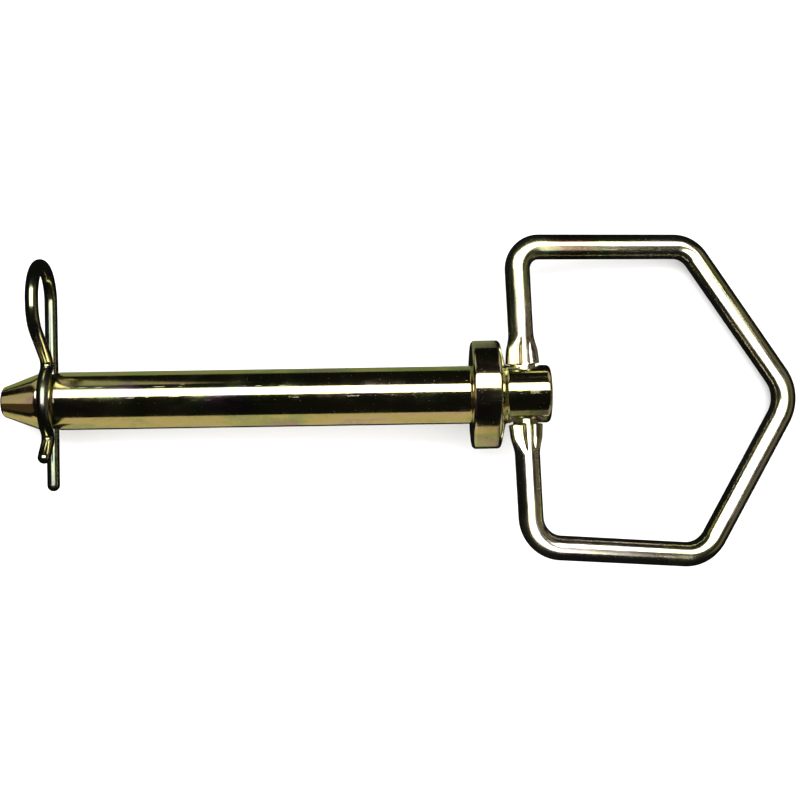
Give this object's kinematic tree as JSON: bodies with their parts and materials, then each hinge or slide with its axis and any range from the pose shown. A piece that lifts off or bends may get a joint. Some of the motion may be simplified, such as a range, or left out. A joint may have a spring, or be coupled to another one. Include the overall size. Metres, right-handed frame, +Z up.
{
  "type": "hitch pin with swivel handle and hairpin clip",
  "caption": "Collared hitch pin with a tapered tip, a swivelling bent-wire handle across its head and a hairpin clip of spring wire through its tip.",
  "frame": {"origin": "under the middle of the whole object's box, on the table that the object lies on", "axes": "+X is level and runs from the tapered tip to the handle; the pin's own axis rises 3.3 degrees along it, because the pin rests on its collar's rim and on the end of its shank; +Z is up, and +Y points towards the clip's loop"},
  "size_m": [0.1788, 0.075, 0.024],
  "materials": {
    "pin_plating": "bright yellow zinc plated forged steel, turned smooth, iridescent",
    "handle_plating": "bright yellow zinc plated drawn wire, pale gold",
    "clip_plating": "yellow zinc plated spring wire, darker olive gold"
  },
  "bodies": {
    "pin": {"hitch_pin": "pin_plating"},
    "handle": {"swivel_handle": "handle_plating"},
    "clip": {"clip_straight_leg": "clip_plating"},
    "clip_spring": {"clip_spring_leg": "clip_plating"}
  },
  "joints": [
    {"name": "handle_swing", "type": "hinge", "parent": "pin", "child": "handle", "pos_m": [0.02507, 0.00254, 0.01251], "axis": [-0.0348, 0.9951, -0.0927], "range_deg": [-181, 155]},
    {"name": "clip_pull_out", "type": "slide", "parent": "pin", "child": "clip", "axis": [0.0053, 0.9959, -0.0905], "range_m": [0, 0.04], "deforming": ["clip_spring_leg"]},
    {"name": "spring_leg_open", "type": "hinge", "parent": "clip", "child": "clip_spring", "pos_m": [-0.07851, 0.02937, 0.00613], "axis": [-0.9983, 0, -0.0583], "range_deg": [0, 8], "stiffness_Nm_per_rad": 0.1, "springref_deg": -2.86}
  ]
}
